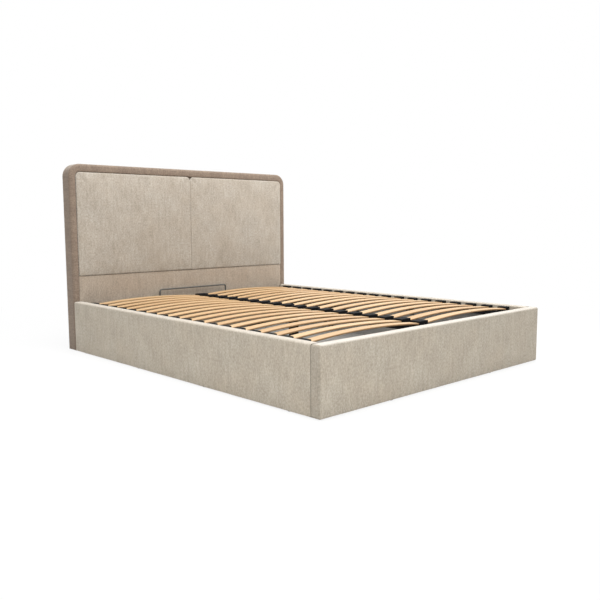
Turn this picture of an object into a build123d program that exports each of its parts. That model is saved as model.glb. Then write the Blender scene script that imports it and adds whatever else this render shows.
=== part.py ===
"""Upholstered double bed with a storage box under a gas-lifted slatted frame.

Millimetres. X runs across the bed, Y towards the headboard, Z up from the floor.
The origin is on the floor under the middle of the bed.
"""
import os
from math import atan2, cos, degrees, hypot, radians, sin

from build123d import *

os.makedirs("parts", exist_ok=True)

# Whole bed
bed_width = 1720
bed_length = 2192
rail_height = 303
rail_thickness = 50
headboard_height = 1131
headboard_thickness = 92
glide_height = 4
glide_radius = 15

# Upholstery layers on the rails and the headboard
foam_thickness = 8
wrap_thickness = 3
wrap_lip_height = 30
rail_edge_radius = 10
rail_inner_edge_radius = 6
soft_gap = 0.5

# One overrun serves all cuts that run out of a piece
cut_overrun = 5

# Planes that the pieces share
headboard_front = bed_length / 2 - headboard_thickness
headboard_back = bed_length / 2
foot_outer = -bed_length / 2
foot_inner = foot_outer + rail_thickness
rail_outer_x = bed_width / 2
rail_inner_x = rail_outer_x - rail_thickness
core_outer_x = rail_outer_x - foam_thickness
core_inner_x = rail_inner_x + wrap_thickness
core_mid_x = (core_outer_x + core_inner_x) / 2
core_bottom = glide_height + wrap_thickness
core_top = rail_height - foam_thickness
core_height = core_top - core_bottom
core_mid_z = (core_bottom + core_top) / 2
lining_top = rail_height - wrap_lip_height
side_rail_length = headboard_front - foot_inner

# Screws, and the holes that take them
screw_radius = 4
screw_head_radius = 7
screw_head_height = 4
screw_depth = 30
screw_clearance = 0.2
screw_hole_radius = screw_radius + screw_clearance


def write(builder, name):
    """Label a finished piece and write it under its name."""
    builder.part.label = name
    export_step(builder.part, f"parts/{name}.step")


def write_pair(builder, name):
    """Write a piece of the left side, and its mirror image for the right side."""
    write(builder, f"{name}_left")
    with BuildPart() as twin:
        mirror(builder.part, about=Plane.YZ)
    write(twin, f"{name}_right")


def stepped_pins(start_x, steps, centres):
    """Turned pins with their axes along X, and their mirror images.

    Each pin starts at start_x on the left side, and its steps follow each other
    towards the middle of the bed; a step is its radius and where it ends.
    """
    with BuildPart() as pins:
        here = start_x
        for radius, end_x in steps:
            with BuildSketch(Plane.YZ.offset(here)) as section:
                with Locations(*centres):
                    Circle(radius)
            extrude(section.sketch, amount=end_x - here)
            here = end_x
        mirror(about=Plane.YZ)
    return pins


def rail_screws(face_x, centres):
    """Screws through a plate whose visible face is face_x from the middle."""
    steps = [(screw_radius, -face_x), (screw_head_radius, screw_head_height - face_x)]
    return stepped_pins(-core_inner_x - screw_depth, steps, centres)


def drill_along_x(start_x, depth, radius, centres):
    """Cut round holes along X, from start_x outwards or inwards by depth."""
    with BuildSketch(Plane.YZ.offset(start_x)) as section:
        with Locations(*centres):
            Circle(radius)
    extrude(section.sketch, amount=depth, mode=Mode.SUBTRACT)


def drill_along_y(start_y, depth, radius, centres):
    """Cut round holes along Y, from start_y towards the headboard by depth."""
    with BuildSketch(Plane.XZ.offset(-start_y)) as section:
        with Locations(*centres):
            Circle(radius)
    extrude(section.sketch, amount=-depth, mode=Mode.SUBTRACT)


# Lift linkage, seen from the side as (Y, Z). The arm turns about its pivot and the
# frame turns back twice as fast about the arm's end, so the guide pin at the
# frame's head end runs along a straight slot in line with the arm's pivot
arm_length = 350
arm_rest_angle = 12
lift_angle = 35
guide_pin_clearance = 110
guide_height = 142
guide_pin = (headboard_front - guide_pin_clearance, guide_height)
arm_reach = arm_length * cos(radians(arm_rest_angle))
arm_rise = arm_length * sin(radians(arm_rest_angle))
arm_pivot = (guide_pin[0] - 2 * arm_reach, guide_height)
frame_pivot = (arm_pivot[0] + arm_reach, guide_height + arm_rise)
guide_travel = 2 * arm_reach - 2 * arm_length * cos(radians(arm_rest_angle + lift_angle))

# Gas strut from the lift plate up to the frame's bracket
strut_base_reach = 235
strut_base_drop = 100
strut_top_reach = 67.6
strut_top_drop = 8.2
strut_base = (arm_pivot[0] + strut_base_reach, guide_height - strut_base_drop)
strut_top = (frame_pivot[0] + strut_top_reach, frame_pivot[1] - strut_top_drop)
strut_length = hypot(strut_top[0] - strut_base[0], strut_top[1] - strut_base[1])
strut_angle = atan2(strut_top[1] - strut_base[1], strut_top[0] - strut_base[0])

# Layers of the lift hardware, from the rail's face towards the middle
plate_standoff = 8
plate_thickness = 4
layer_gap = 3
arm_thickness = 5
bracket_thickness = 5
strut_gap = 4
strut_radius = 11
strut_eye_width = 12
plate_outer_x = rail_inner_x - plate_standoff
plate_inner_x = plate_outer_x - plate_thickness
arm_outer_x = plate_inner_x - layer_gap
arm_inner_x = arm_outer_x - arm_thickness
bracket_outer_x = arm_inner_x - layer_gap
bracket_inner_x = bracket_outer_x - bracket_thickness
strut_x = bracket_inner_x - strut_gap - strut_radius
eye_outer_x = strut_x + strut_eye_width / 2
eye_inner_x = strut_x - strut_eye_width / 2

# Lift plate: a long strip with a drop ear for the strut's lower pin
plate_end_margin = 30
plate_top_margin = 28
plate_bottom_margin = 50
plate_corner_radius = 8
plate_boss_radius = 12
plate_screw_drop = 32
plate_screw_inset = 24
plate_screw_span_shares = (0, 0.3, 0.66, 1)
plate_head_end = guide_pin[0] + plate_end_margin
plate_foot_end = arm_pivot[0] - plate_end_margin
plate_screw_span = plate_head_end - plate_foot_end - 2 * plate_screw_inset
plate_screws = [
    (plate_foot_end + plate_screw_inset + share * plate_screw_span, guide_height - plate_screw_drop)
    for share in plate_screw_span_shares
]

# Lifting frame of square steel tube
tube_size = 30
tube_wall = 1.5
tube_bottom = 243
tube_top = tube_bottom + tube_size
tube_mid_z = tube_bottom + tube_size / 2
frame_side_clearance = 10
frame_head_clearance = 27
frame_foot_clearance = 66
seat_gap = 0.3
frame_side_x = rail_inner_x - frame_side_clearance
frame_head_y = headboard_front - frame_head_clearance
frame_foot_y = foot_inner + frame_foot_clearance

# Rest brackets under the side tubes, with two screws each
bracket_sheet = 3
rest_bracket_length = 60
rest_bracket_height = 52
rest_shelf_depth = 38
rest_pad_inset = 8
rest_pad_width = 26
rest_pad_thickness = 3.5
rest_bracket_head_distance = 1250
rest_bracket_foot_distance = 150
rest_screw_spacing = 34
rest_screw_rise = 18
rest_shelf_top = tube_bottom - seat_gap - rest_pad_thickness
rest_bracket_bottom = rest_shelf_top - rest_bracket_height
rest_bracket_ys = [
    headboard_front - rest_bracket_head_distance,
    foot_inner + rest_bracket_foot_distance,
]
rest_screws = [
    (y + side * rest_screw_spacing / 2, rest_bracket_bottom + rest_screw_rise)
    for y in rest_bracket_ys
    for side in (-1, 1)
]

# Corner brackets between the side rails and the foot rail
corner_leg = 60
corner_bottom = 40
corner_height = 180
corner_screw_inset = 36
corner_screw_edge = 40
corner_screw_zs = (corner_bottom + corner_screw_edge, corner_bottom + corner_height - corner_screw_edge)
corner_side_screws = [(foot_inner + corner_screw_inset, z) for z in corner_screw_zs]
corner_foot_screws = [
    (side * (rail_inner_x - corner_screw_inset), z) for side in (-1, 1) for z in corner_screw_zs
]

# Headboard build-up, from the front to the back
headboard_corner_radius = 75
border_width = 36
border_top_width = 44
border_edge_radius = 14
front_board_thickness = 12
back_cover_thickness = 3
back_cover_inset = 2
timber_width = 45
mid_timber_height = 480
board_front = headboard_front + foam_thickness
timber_front = board_front + front_board_thickness
timber_back = headboard_back - back_cover_thickness
pad_opening_x = rail_outer_x - border_width
pad_opening_top = headboard_height - border_top_width
outline_top = headboard_height - foam_thickness
stile_x = core_outer_x - timber_width / 2

# Bolts through the headboard's stiles into the ends of the side rails
bolt_heights = (100, 220)
bolt_head_radius = 10
bolt_head_height = 6
bolt_pocket_depth = 14
bolt_depth = 60
bolt_places = [(side * core_mid_x, z) for side in (-1, 1) for z in bolt_heights]
bolt_seat_y = timber_back - bolt_pocket_depth


def headboard_layer(inset, front_y, back_y, window=None):
    """A layer of the headboard inside its outline drawn in by inset.

    A window, as middle X and Z, width and height, keeps only what lies in it.
    """
    top = headboard_height - inset
    with BuildPart() as layer:
        with BuildSketch(Plane.XZ.offset(-back_y)) as outline:
            with Locations((0, (top + glide_height) / 2)):
                Rectangle(bed_width - 2 * inset, top - glide_height)
            fillet(outline.vertices().group_by(Axis.Y)[-1], headboard_corner_radius - inset)
            if window:
                middle_x, middle_z, width, height = window
                with Locations((middle_x, middle_z)):
                    Rectangle(width, height, mode=Mode.INTERSECT)
        extrude(amount=back_y - front_y)
    return layer


# Headboard: front board
with BuildPart() as headboard_board:
    add(headboard_layer(foam_thickness, board_front, timber_front).part)
    drill_along_y(board_front, front_board_thickness, screw_hole_radius, bolt_places)
write(headboard_board, "headboard_board")

# Headboard: stiles behind the board, with pockets for the heads of the rail bolts
stile_window = (-stile_x, (outline_top + glide_height) / 2, timber_width, outline_top - glide_height)
with BuildPart() as headboard_stile:
    add(headboard_layer(foam_thickness, timber_front, timber_back, stile_window).part)
    left_bolts = [place for place in bolt_places if place[0] < 0]
    drill_along_y(timber_front, timber_back - timber_front, screw_hole_radius, left_bolts)
    drill_along_y(bolt_seat_y, bolt_pocket_depth, bolt_head_radius + screw_clearance, left_bolts)
write_pair(headboard_stile, "headboard_stile")

# Headboard: timbers across, between the stiles
timber_middles = {
    "headboard_top_timber": outline_top - timber_width / 2,
    "headboard_mid_timber": mid_timber_height,
    "headboard_bottom_timber": glide_height + timber_width / 2,
}
for name, middle_z in timber_middles.items():
    timber_window = (0, middle_z, 2 * (core_outer_x - timber_width), timber_width)
    write(headboard_layer(foam_thickness, timber_front, timber_back, timber_window), name)

# Headboard: padded border wrapped round the edges, open behind the pads
pad_corner_radius = 30
with BuildPart() as headboard_border:
    add(headboard_layer(0, headboard_front, timber_back).part)
    front_face = headboard_border.faces().sort_by(Axis.Y)[0]
    fillet(front_face.edges().sort_by(Axis.Z)[1:], border_edge_radius)
    add(headboard_layer(foam_thickness, board_front, timber_back).part, mode=Mode.SUBTRACT)
    with BuildSketch(Plane.XZ.offset(-headboard_front)) as opening:
        with Locations((0, pad_opening_top / 2)):
            Rectangle(2 * pad_opening_x, pad_opening_top)
        fillet(opening.vertices().group_by(Axis.Y)[-1], pad_corner_radius + soft_gap)
    extrude(amount=-foam_thickness - cut_overrun, mode=Mode.SUBTRACT)
    drill_along_y(headboard_front, foam_thickness, screw_hole_radius, bolt_places)
write(headboard_border, "headboard_border")

# Headboard: cloth-covered panel over the back, with holes that show the bolts' heads
with BuildPart() as headboard_back_cover:
    add(headboard_layer(back_cover_inset, timber_back, headboard_back).part)
    drill_along_y(timber_back, back_cover_thickness, bolt_head_radius + screw_clearance, bolt_places)
write(headboard_back_cover, "headboard_back_cover")

# Headboard: flat padded panel below the pads
pad_bottom = 457
pad_gap = 3
lower_pad_bottom = 24
lower_pad_recess = 2
lower_pad_edge_radius = 3
lower_pad_height = pad_bottom - pad_gap - lower_pad_bottom
with BuildPart() as headboard_lower_pad:
    with BuildSketch(Plane.XZ.offset(-board_front)):
        with Locations((0, lower_pad_bottom + lower_pad_height / 2)):
            Rectangle(2 * (pad_opening_x - soft_gap), lower_pad_height)
    extrude(amount=foam_thickness - lower_pad_recess)
    fillet(headboard_lower_pad.faces().sort_by(Axis.Y)[0].edges(), lower_pad_edge_radius)
write(headboard_lower_pad, "headboard_lower_pad")

# Headboard: two crowned pads on thin backing boards. The shares give how far out
# each section of a pad lies, and how much of the draw-in it has there
pad_rise = 15
pad_draw_in = 12
pad_depth_shares = (0, 0.4, 0.7, 0.86, 0.94, 1)
pad_draw_in_shares = (0.15, 0, 0.08, 0.4, 1, 4)
pad_bottom_corner_radius = 8
backing_inset = 14
backing_corner_radius = 16
backing_thickness = 9
pad_width = pad_opening_x - 2 * soft_gap
pad_height = pad_opening_top - soft_gap - pad_bottom
pad_middle = (-soft_gap - pad_width / 2, pad_bottom + pad_height / 2)
pad_depth = board_front - headboard_front + pad_rise
backing_size = (pad_width - 2 * backing_inset, pad_height - 2 * backing_inset)
with BuildPart() as headboard_pad:
    for depth_share, draw_in_share in zip(pad_depth_shares, pad_draw_in_shares):
        draw_in = draw_in_share * pad_draw_in
        with BuildSketch(Plane.XZ.offset(depth_share * pad_depth - board_front)):
            with Locations(pad_middle):
                outline = Rectangle(pad_width - 2 * draw_in, pad_height - 2 * draw_in)
            fillet(outline.vertices().group_by(Axis.Y)[-1], pad_corner_radius)
            fillet(outline.vertices().group_by(Axis.Y)[0], pad_bottom_corner_radius)
    loft(ruled=True)
    with BuildSketch(Plane.XZ.offset(-board_front)):
        with Locations(pad_middle):
            RectangleRounded(*backing_size, backing_corner_radius)
    extrude(amount=backing_thickness, mode=Mode.SUBTRACT)
write_pair(headboard_pad, "headboard_pad")

with BuildPart() as pad_backing_boards:
    with BuildSketch(Plane.XZ.offset(-board_front)):
        with Locations(pad_middle):
            RectangleRounded(*backing_size, backing_corner_radius)
    extrude(amount=backing_thickness)
    mirror(about=Plane.YZ)
write(pad_backing_boards, "pad_backing_boards")

# Headboard: bolts into the side rails
with BuildPart() as headboard_bolts:
    with BuildSketch(Plane.XZ.offset(-bolt_seat_y)):
        with Locations(*bolt_places):
            Circle(screw_radius)
    extrude(amount=bolt_seat_y - headboard_front + bolt_depth)
    with BuildSketch(Plane.XZ.offset(-bolt_seat_y)):
        with Locations(*bolt_places):
            Circle(bolt_head_radius)
    extrude(amount=-bolt_head_height)
write(headboard_bolts, "headboard_bolts")

# Side rails: board, padded cover round it and grey lining inside
rail_screw_places = plate_screws + rest_screws + corner_side_screws
with BuildPart() as side_rail_core:
    with BuildSketch(Plane.XZ.offset(-headboard_front)):
        with Locations((-core_mid_x, core_mid_z)):
            Rectangle(core_outer_x - core_inner_x, core_height)
    extrude(amount=side_rail_length)
    drill_along_x(-core_inner_x, -screw_depth - screw_clearance, screw_hole_radius, rail_screw_places)
    drill_along_y(headboard_front - bolt_depth - screw_clearance, bolt_depth + cut_overrun,
                  screw_hole_radius, left_bolts)
write_pair(side_rail_core, "side_rail_core")

lining_height = lining_top - core_bottom
with BuildPart() as side_rail_cover:
    with BuildSketch(Plane.XZ.offset(-headboard_front)) as section:
        with Locations((-(rail_outer_x + rail_inner_x) / 2, (glide_height + rail_height) / 2)):
            Rectangle(rail_thickness, rail_height - glide_height)
        fillet(section.vertices().group_by(Axis.Y)[-1].sort_by(Axis.X)[0], rail_edge_radius)
        fillet(section.vertices().group_by(Axis.Y)[-1].sort_by(Axis.X)[-1], rail_inner_edge_radius)
        with Locations((-core_mid_x, core_mid_z)):
            Rectangle(core_outer_x - core_inner_x, core_height, mode=Mode.SUBTRACT)
        with Locations((-core_inner_x, core_bottom)):
            Rectangle(wrap_thickness + cut_overrun, lining_height, align=Align.MIN, mode=Mode.SUBTRACT)
    extrude(amount=side_rail_length)
write_pair(side_rail_cover, "side_rail_cover")

with BuildPart() as side_rail_lining:
    with BuildSketch(Plane.XZ.offset(-headboard_front)):
        with Locations((-core_inner_x, core_bottom)):
            Rectangle(wrap_thickness, lining_height, align=Align.MIN)
    extrude(amount=side_rail_length)
    drill_along_x(-core_inner_x, wrap_thickness, screw_hole_radius, rail_screw_places)
write_pair(side_rail_lining, "side_rail_lining")

# Foot rail: the same layers, with the cover wrapped round both ends
foot_core_outer = foot_outer + foam_thickness
foot_core_inner = foot_inner - wrap_thickness
foot_core_mid_y = (foot_core_outer + foot_core_inner) / 2
foot_core_size = (2 * core_outer_x, foot_core_inner - foot_core_outer)
with BuildPart() as foot_rail_core:
    with BuildSketch(Plane.XY.offset(core_bottom)):
        with Locations((0, foot_core_mid_y)):
            Rectangle(*foot_core_size)
    extrude(amount=core_height)
    drill_along_y(foot_core_inner - screw_depth - screw_clearance, screw_depth + cut_overrun,
                  screw_hole_radius, corner_foot_screws)
write(foot_rail_core, "foot_rail_core")

with BuildPart() as foot_rail_cover:
    with BuildSketch(Plane.XY.offset(glide_height)):
        with Locations((0, foot_outer + rail_thickness / 2)):
            Rectangle(bed_width, rail_thickness)
    extrude(amount=rail_height - glide_height)
    fillet(foot_rail_cover.edges().filter_by(Axis.Z).group_by(Axis.Y)[0], rail_edge_radius)
    fillet(foot_rail_cover.faces().sort_by(Axis.Z)[-1].edges().sort_by(Axis.Y)[:-1], rail_edge_radius)
    fillet(foot_rail_cover.faces().sort_by(Axis.Z)[-1].edges().sort_by(Axis.Y)[-1], rail_inner_edge_radius)
    with BuildSketch(Plane.XY.offset(core_bottom)):
        with Locations((0, foot_core_mid_y)):
            Rectangle(*foot_core_size)
    extrude(amount=core_height, mode=Mode.SUBTRACT)
    with BuildSketch(Plane.XY.offset(core_bottom)):
        with Locations((0, foot_core_inner)):
            Rectangle(2 * core_outer_x, wrap_thickness + cut_overrun, align=(Align.CENTER, Align.MIN))
    extrude(amount=lining_height, mode=Mode.SUBTRACT)
write(foot_rail_cover, "foot_rail_cover")

with BuildPart() as foot_rail_lining:
    with BuildSketch(Plane.XY.offset(core_bottom)):
        with Locations((0, foot_core_inner)):
            Rectangle(2 * core_outer_x, wrap_thickness, align=(Align.CENTER, Align.MIN))
    extrude(amount=lining_height)
    drill_along_y(foot_core_inner, wrap_thickness, screw_hole_radius, corner_foot_screws)
write(foot_rail_lining, "foot_rail_lining")

# Corner brackets of steel angle, with the screws of these and of the rest brackets
with BuildPart() as corner_brackets:
    with BuildSketch(Plane.XY.offset(corner_bottom)):
        with Locations((-rail_inner_x, foot_inner)):
            Rectangle(corner_leg, bracket_sheet, align=Align.MIN)
            Rectangle(bracket_sheet, corner_leg, align=Align.MIN)
    extrude(amount=corner_height)
    drill_along_x(-rail_inner_x, bracket_sheet, screw_hole_radius, corner_side_screws)
    drill_along_y(foot_inner, bracket_sheet, screw_hole_radius, corner_foot_screws)
    mirror(about=Plane.YZ)
write(corner_brackets, "corner_brackets")

with BuildPart() as bracket_screws:
    add(rail_screws(rail_inner_x - bracket_sheet, corner_side_screws + rest_screws).part)
    with BuildSketch(Plane.XZ.offset(-foot_inner - bracket_sheet)):
        with Locations(*corner_foot_screws):
            Circle(screw_radius)
    extrude(amount=bracket_sheet + wrap_thickness + screw_depth)
    with BuildSketch(Plane.XZ.offset(-foot_inner - bracket_sheet)):
        with Locations(*corner_foot_screws):
            Circle(screw_head_radius)
    extrude(amount=-screw_head_height)
write(bracket_screws, "bracket_screws")

# Rest brackets and their rubber pads
with BuildPart() as rest_brackets:
    with BuildSketch(Plane.XY.offset(rest_bracket_bottom)):
        with Locations(*[(-rail_inner_x, y) for y in rest_bracket_ys]):
            Rectangle(bracket_sheet, rest_bracket_length, align=(Align.MIN, Align.CENTER))
    extrude(amount=rest_bracket_height)
    with BuildSketch(Plane.XY.offset(rest_shelf_top)):
        with Locations(*[(-rail_inner_x, y) for y in rest_bracket_ys]):
            Rectangle(rest_shelf_depth, rest_bracket_length, align=(Align.MIN, Align.CENTER))
    extrude(amount=-bracket_sheet)
    drill_along_x(-rail_inner_x, bracket_sheet, screw_hole_radius, rest_screws)
    mirror(about=Plane.YZ)
write(rest_brackets, "rest_brackets")

with BuildPart() as rest_pads:
    with BuildSketch(Plane.XY.offset(rest_shelf_top)):
        with Locations(*[(-rail_inner_x + rest_pad_inset, y) for y in rest_bracket_ys]):
            Rectangle(rest_pad_width, rest_bracket_length - 2 * rest_pad_inset,
                      align=(Align.MIN, Align.CENTER))
    extrude(amount=rest_pad_thickness)
    mirror(about=Plane.YZ)
write(rest_pads, "rest_pads")

# Storage floor: two panels with a joint strip between them
floor_thickness = 5
floor_joint_y = 100
floor_strip_width = 24
floor_strip_thickness = 1.5
floor_strip_web = 1
floor_top = glide_height + floor_thickness
floor_half_width = rail_inner_x - soft_gap
floor_web_gap = floor_strip_web / 2 + screw_clearance


def floor_panel(low_y, high_y):
    """A floor panel between two Y places, on the glides."""
    with BuildPart() as panel:
        with BuildSketch(Plane.XY.offset(glide_height)):
            with Locations((0, (low_y + high_y) / 2)):
                Rectangle(2 * floor_half_width, high_y - low_y)
        extrude(amount=floor_thickness)
    return panel


write(floor_panel(foot_inner + soft_gap, floor_joint_y - floor_web_gap), "floor_panel_foot")
write(floor_panel(floor_joint_y + floor_web_gap, board_front - soft_gap), "floor_panel_head")

with BuildPart() as floor_joint_strip:
    for face_z, amount in ((glide_height, -floor_strip_thickness), (floor_top, floor_strip_thickness)):
        with BuildSketch(Plane.XY.offset(face_z)):
            with Locations((0, floor_joint_y)):
                Rectangle(2 * floor_half_width, floor_strip_width)
        extrude(amount=amount)
    with BuildSketch(Plane.XY.offset(glide_height)):
        with Locations((0, floor_joint_y)):
            Rectangle(2 * floor_half_width, floor_strip_web)
    extrude(amount=floor_thickness)
write(floor_joint_strip, "floor_joint_strip")

# Glides under the rails, the headboard's stiles and the floor panels
side_glide_ys = (-900, -300, 300, 900)
foot_glide_x = 400
floor_glide_xs = (-500, 0, 500)
floor_glide_ys = (-800, -400, -21, 300, 700)
timber_mid_y = (timber_front + timber_back) / 2
glide_places = [(side * core_mid_x, y) for side in (-1, 1) for y in side_glide_ys]
glide_places += [(side * foot_glide_x, foot_core_mid_y) for side in (-1, 1)]
glide_places += [(side * stile_x, timber_mid_y) for side in (-1, 1)]
glide_places += [(x, y) for x in floor_glide_xs for y in floor_glide_ys]
with BuildPart() as glides:
    with BuildSketch():
        with Locations(*glide_places):
            Circle(glide_radius)
    extrude(amount=glide_height)
write(glides, "glides")

# Centre leg with its foot plate, and the rubber cap that the frame rests on
leg_y = -21
leg_size = 40
leg_wall = 2
leg_foot_size = 100
leg_foot_thickness = 3
leg_foot_radius = 10
leg_cap_overhang = 2
leg_cap_thickness = 5
leg_plug_depth = 15
leg_top = tube_bottom - seat_gap - leg_cap_thickness
leg_inside = leg_size - 2 * leg_wall
with BuildPart() as centre_leg:
    with BuildSketch(Plane.XY.offset(floor_top)):
        with Locations((0, leg_y)):
            RectangleRounded(leg_foot_size, leg_foot_size, leg_foot_radius)
    extrude(amount=leg_foot_thickness)
    with BuildSketch(Plane.XY.offset(floor_top + leg_foot_thickness)):
        with Locations((0, leg_y)):
            Rectangle(leg_size, leg_size)
            Rectangle(leg_inside, leg_inside, mode=Mode.SUBTRACT)
    extrude(amount=leg_top - floor_top - leg_foot_thickness)
write(centre_leg, "centre_leg")

with BuildPart() as centre_leg_cap:
    with BuildSketch(Plane.XY.offset(leg_top)):
        with Locations((0, leg_y)):
            Rectangle(leg_size + 2 * leg_cap_overhang, leg_size + 2 * leg_cap_overhang)
    extrude(amount=leg_cap_thickness)
    with BuildSketch(Plane.XY.offset(leg_top)):
        with Locations((0, leg_y)):
            Rectangle(leg_inside - 2 * screw_clearance, leg_inside - 2 * screw_clearance)
    extrude(amount=-leg_plug_depth)
write(centre_leg_cap, "centre_leg_cap")

# Lift plates on the side rails, standing off on bosses, with the guide slot
ear_radius = 16
ear_half_width = 45
pivot_radius = 6
strut_pin_radius = 5
bush_radius = 10
bush_width = 6
slot_clearance = 0.2
slot_end_clearance = 3
with BuildPart() as lift_plate:
    with BuildSketch(Plane.YZ.offset(-plate_outer_x)):
        with Locations((plate_foot_end, guide_height - plate_bottom_margin)):
            Rectangle(plate_head_end - plate_foot_end, plate_bottom_margin + plate_top_margin,
                      align=Align.MIN)
        with BuildLine():
            Polyline(
                (strut_base[0] - ear_half_width, guide_height),
                (strut_base[0] - ear_radius, strut_base[1]),
                (strut_base[0] + ear_radius, strut_base[1]),
                (strut_base[0] + ear_half_width, guide_height),
                close=True,
            )
        make_face()
        with Locations(strut_base):
            Circle(ear_radius)
    extrude(amount=plate_thickness)
    fillet(
        lift_plate.edges().filter_by(Axis.X).group_by(Axis.Y)[0]
        + lift_plate.edges().filter_by(Axis.X).group_by(Axis.Y)[-1],
        plate_corner_radius,
    )
    with BuildSketch(Plane.YZ.offset(-rail_inner_x)):
        with Locations(*plate_screws):
            Circle(plate_boss_radius)
    extrude(amount=plate_standoff)
    with BuildSketch(Plane.YZ.offset(-plate_outer_x)):
        with Locations((guide_pin[0] - guide_travel / 2, guide_height)):
            SlotCenterToCenter(guide_travel + 2 * slot_end_clearance, 2 * (bush_radius + slot_clearance))
    extrude(amount=plate_thickness, mode=Mode.SUBTRACT)
    drill_along_x(-rail_inner_x, plate_standoff + plate_thickness, screw_hole_radius, plate_screws)
    drill_along_x(-plate_outer_x, plate_thickness, pivot_radius, [arm_pivot])
    drill_along_x(-plate_outer_x, plate_thickness, strut_pin_radius, [strut_base])
write_pair(lift_plate, "lift_plate")

write(rail_screws(plate_inner_x, plate_screws), "lift_plate_screws")

# Pivots of the arms, fixed in the plates, and lower pins of the struts
running_gap = 0.2
turning_clearance = 0.05
pivot_collar_radius = 10
pivot_head_thickness = 2.2
strut_collar_radius = 8
strut_head_thickness = 3
arm_pivot_steps = [
    (pivot_radius, -plate_inner_x),
    (pivot_collar_radius, -arm_outer_x - running_gap),
    (pivot_radius, -arm_inner_x + running_gap),
    (pivot_collar_radius, -arm_inner_x + running_gap + pivot_head_thickness),
]
write(stepped_pins(-plate_outer_x, arm_pivot_steps, [arm_pivot]), "arm_pivots")

strut_pin_steps = [
    (strut_collar_radius, -eye_outer_x - running_gap),
    (strut_pin_radius, -eye_inner_x + running_gap),
    (strut_collar_radius, -eye_inner_x + running_gap + strut_head_thickness),
]
strut_base_steps = [(strut_pin_radius, -plate_inner_x)] + strut_pin_steps
write(stepped_pins(-plate_outer_x, strut_base_steps, [strut_base]), "strut_base_pins")

# Lifting arms of flat steel
arm_width = 30
arm_middle = ((arm_pivot[0] + frame_pivot[0]) / 2, (arm_pivot[1] + frame_pivot[1]) / 2)
with BuildPart() as lift_arm:
    with BuildSketch(Plane.YZ.offset(-arm_outer_x)):
        with Locations(arm_middle):
            SlotCenterToCenter(arm_length, arm_width, rotation=arm_rest_angle)
        with Locations(arm_pivot, frame_pivot):
            Circle(pivot_radius + turning_clearance, mode=Mode.SUBTRACT)
    extrude(amount=arm_thickness)
write_pair(lift_arm, "lift_arm")

# Gas struts: cylinder with its lower eye and bore, and rod with piston and upper eye
strut_neck_radius = 5
strut_body_start = 18
strut_body_length = 150
strut_bore_radius = 9
strut_floor_thickness = 4
strut_gland_thickness = 8
rod_radius = 4
piston_clearance = 0.1
piston_length = 8
piston_start = 28
strut_plane = Plane(
    origin=(-strut_x, strut_base[0], strut_base[1]),
    x_dir=(1, 0, 0),
    z_dir=(0, cos(strut_angle), sin(strut_angle)),
)
strut_body_end = strut_body_start + strut_body_length
with BuildPart() as strut_cylinder:
    with BuildSketch(Plane.YZ.offset(-eye_outer_x)):
        with Locations(strut_base):
            Circle(strut_radius)
    extrude(amount=strut_eye_width)
    with BuildSketch(strut_plane):
        Circle(strut_neck_radius)
    extrude(amount=strut_body_start)
    with BuildSketch(strut_plane.offset(strut_body_start)):
        Circle(strut_radius)
    extrude(amount=strut_body_length)
    with BuildSketch(strut_plane.offset(strut_body_start + strut_floor_thickness)):
        Circle(strut_bore_radius)
    extrude(amount=strut_body_length - strut_floor_thickness - strut_gland_thickness, mode=Mode.SUBTRACT)
    with BuildSketch(strut_plane.offset(strut_body_end - strut_gland_thickness - cut_overrun)):
        Circle(rod_radius + turning_clearance)
    extrude(amount=strut_gland_thickness + 2 * cut_overrun, mode=Mode.SUBTRACT)
    drill_along_x(-eye_outer_x, strut_eye_width, strut_pin_radius + turning_clearance, [strut_base])
write_pair(strut_cylinder, "strut_cylinder")

open_eye_clearance = 0.6
with BuildPart() as strut_rod:
    with BuildSketch(strut_plane.offset(piston_start)):
        Circle(strut_bore_radius - piston_clearance)
    extrude(amount=piston_length)
    with BuildSketch(strut_plane.offset(piston_start + piston_length)):
        Circle(rod_radius)
    extrude(amount=strut_length - piston_start - piston_length)
    with BuildSketch(Plane.YZ.offset(-eye_outer_x)):
        with Locations(strut_top):
            Circle(strut_radius)
    extrude(amount=strut_eye_width)
    drill_along_x(-eye_outer_x, strut_eye_width, strut_pin_radius + open_eye_clearance, [strut_top])
write_pair(strut_rod, "strut_rod")

# Frame brackets under the side tubes, from the arm's end to the guide pin
bracket_pivot_radius = 16
bracket_guide_radius = 18
with BuildPart() as frame_bracket:
    with BuildSketch(Plane.YZ.offset(-bracket_outer_x)):
        with Locations(frame_pivot):
            Circle(bracket_pivot_radius)
        with Locations(guide_pin):
            Circle(bracket_guide_radius)
        with Locations((frame_pivot[0] - bracket_pivot_radius, tube_bottom)):
            Rectangle(
                guide_pin[0] + bracket_guide_radius - frame_pivot[0] + bracket_pivot_radius,
                tube_bottom - frame_pivot[1],
                align=(Align.MIN, Align.MAX),
            )
        make_hull()
        with Locations(frame_pivot):
            Circle(pivot_radius, mode=Mode.SUBTRACT)
        with Locations(guide_pin, strut_top):
            Circle(strut_pin_radius, mode=Mode.SUBTRACT)
    extrude(amount=bracket_thickness)
write_pair(frame_bracket, "frame_bracket")

# Pins in the brackets: arm pivots, guide pins and the upper pins of the struts
frame_pivot_head_radius = 9.5
frame_pivot_start = -arm_outer_x - running_gap - pivot_head_thickness
frame_pivot_steps = [
    (frame_pivot_head_radius, -arm_outer_x - running_gap),
    (pivot_radius, -arm_inner_x + running_gap),
    (pivot_collar_radius, -bracket_outer_x),
    (pivot_radius, -bracket_inner_x),
]
write(stepped_pins(frame_pivot_start, frame_pivot_steps, [frame_pivot]), "frame_pivots")

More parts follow.
